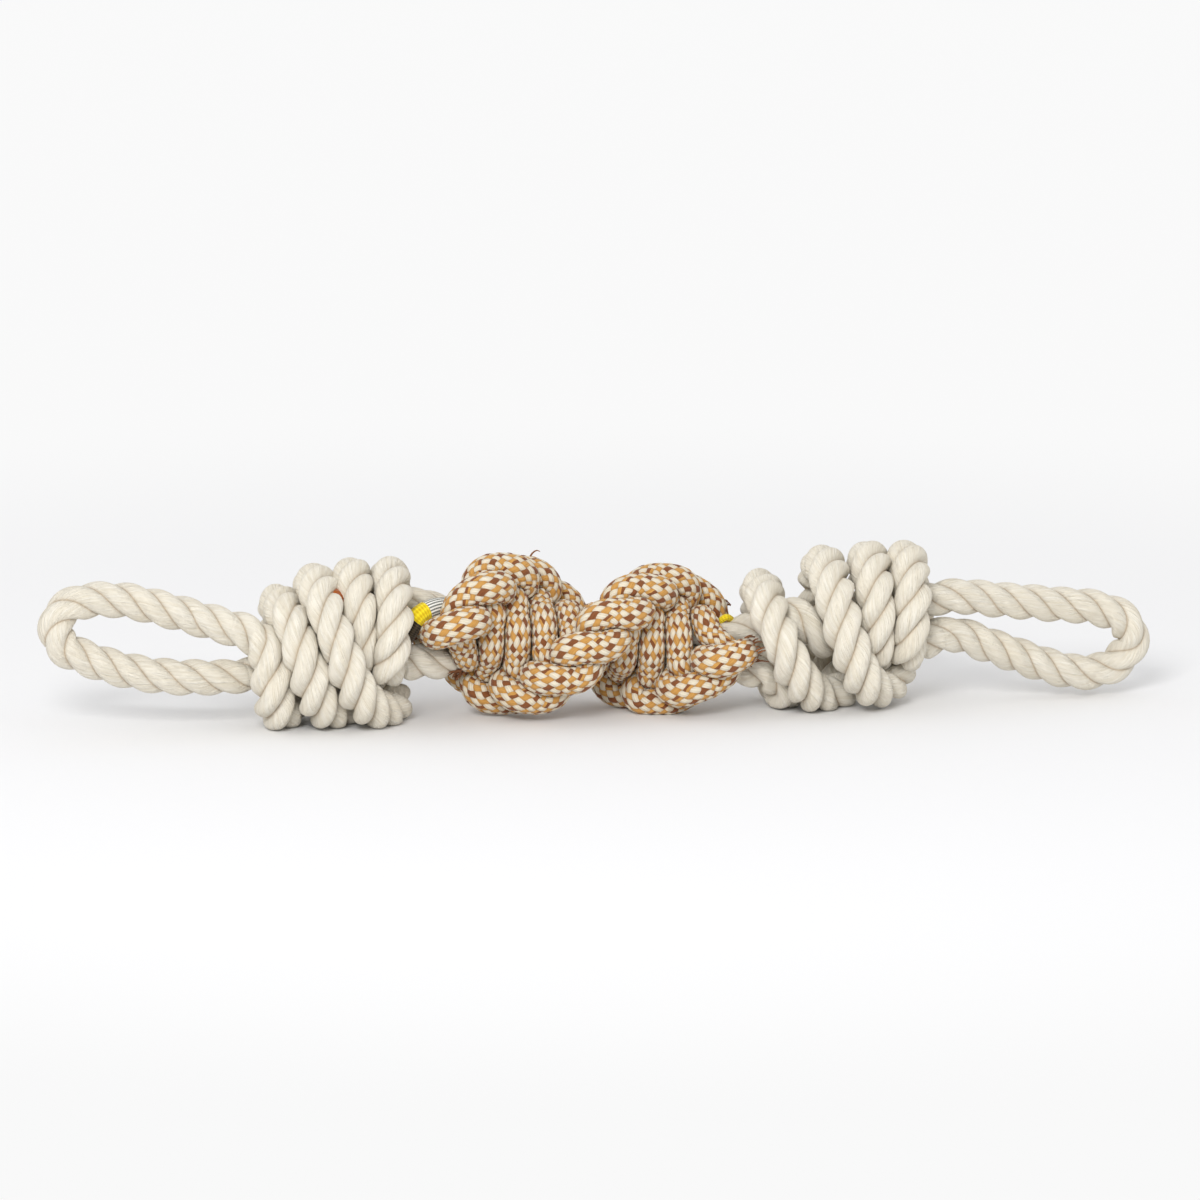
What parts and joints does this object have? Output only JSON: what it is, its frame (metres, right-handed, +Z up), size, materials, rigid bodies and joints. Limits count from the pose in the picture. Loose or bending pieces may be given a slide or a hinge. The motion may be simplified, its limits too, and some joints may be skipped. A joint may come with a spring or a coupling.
{
  "type": "rope dog toy",
  "caption": "Tug and chew toy of laid cotton rope: a hand loop and a wound knot at each end, joined by a spiral of half knots tied in a checked braided cord.",
  "frame": {"origin": "centre of the toy's length and width, on the floor it lies on", "axes": "+X along the toy from the left loop to the right loop, -Y to the side that faces the viewer, +Z up"},
  "size_m": [0.488, 0.0724, 0.0696],
  "materials": {
    "cotton_rope": "laid natural cotton, matt and slightly fuzzy",
    "checked_cord": "braided, white with tan and brown checks",
    "striped_cord": "braided, yellow with grey and white stripes"
  },
  "bodies": {
    "middle": {"core_rope": "cotton_rope", "checked_cord": "checked_cord"},
    "left_knot": {"left_knot_winding": "cotton_rope", "left_leg_in_knot": "cotton_rope", "left_neck_strand_a": "cotton_rope", "left_neck_strand_b": "cotton_rope", "left_neck_strand_c": "cotton_rope", "left_striped_cord": "striped_cord"},
    "left_loop": {"left_loop": "cotton_rope"},
    "right_knot": {"right_knot_winding": "cotton_rope", "right_leg_in_knot": "cotton_rope", "right_neck_strand_a": "cotton_rope", "right_neck_strand_b": "cotton_rope", "right_neck_strand_c": "cotton_rope", "right_striped_cord": "striped_cord"},
    "right_loop": {"right_loop": "cotton_rope"}
  },
  "joints": [
    {"name": "left_neck_bend", "type": "hinge", "parent": "middle", "child": "left_knot", "pos_m": [-0.06794, 0, 0.03688], "axis": [0, 1, 0], "range_deg": [0, 18], "stiffness_Nm_per_rad": 2},
    {"name": "right_neck_bend", "type": "hinge", "parent": "middle", "child": "right_knot", "pos_m": [0.06243, 0, 0.03096], "axis": [0, -1, 0], "range_deg": [0, 18], "stiffness_Nm_per_rad": 2},
    {"name": "left_loop_swing", "type": "hinge", "parent": "left_knot", "child": "left_loop", "pos_m": [-0.172, -0.004, 0.0356], "axis": [0, 0, 1], "range_deg": [-25, 25], "stiffness_Nm_per_rad": 0.5},
    {"name": "right_loop_swing", "type": "hinge", "parent": "right_knot", "child": "right_loop", "pos_m": [0.16, -0.004, 0.0387], "axis": [0, 0, 1], "range_deg": [-25, 25], "stiffness_Nm_per_rad": 0.5}
  ]
}
